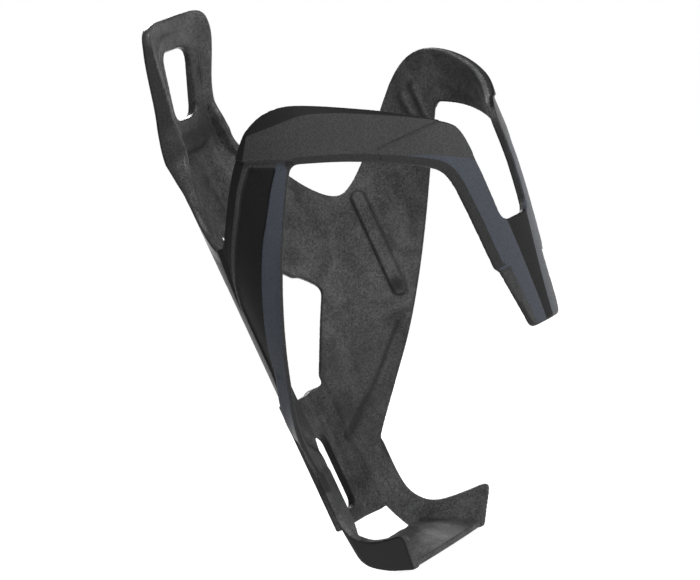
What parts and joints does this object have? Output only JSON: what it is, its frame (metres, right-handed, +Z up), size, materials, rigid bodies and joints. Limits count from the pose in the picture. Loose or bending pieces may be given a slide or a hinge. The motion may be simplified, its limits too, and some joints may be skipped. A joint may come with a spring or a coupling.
{
  "type": "water bottle cage",
  "caption": "Moulded shell cage that bolts to a bicycle frame and grips a round water bottle with two wings, a split front tongue and a foot.",
  "frame": {"origin": "on the flat back of the lower mount, 15 mm above the middle of its bolt slot", "axes": "+Z up along the bottle's axis, +Y out of the flat back towards the bicycle's frame, +X to the cage's right"},
  "size_m": [0.0798, 0.0854, 0.1526],
  "materials": {
    "inner_carbon": "satin moulded carbon with a fine mottled grain",
    "outer_black": "smooth satin black lacquer",
    "slate_facet": "satin blue-grey lacquer",
    "foot_carbon": "satin moulded carbon with shallow ripples"
  },
  "bodies": {
    "root": {"lower_mount": "inner_carbon", "upper_mount": "inner_carbon", "top_tab": "inner_carbon", "left_shoulder": "inner_carbon", "right_shoulder": "inner_carbon", "left_wing": "inner_carbon", "right_wing": "inner_carbon", "left_stay": "inner_carbon", "right_stay": "inner_carbon", "left_band": "outer_black", "right_band": "outer_black", "left_leg": "slate_facet", "right_leg": "slate_facet", "front_tongue": "outer_black", "left_foot_wall": "foot_carbon", "right_foot_wall": "foot_carbon", "foot_floor": "foot_carbon"}
  },
  "joints": []
}
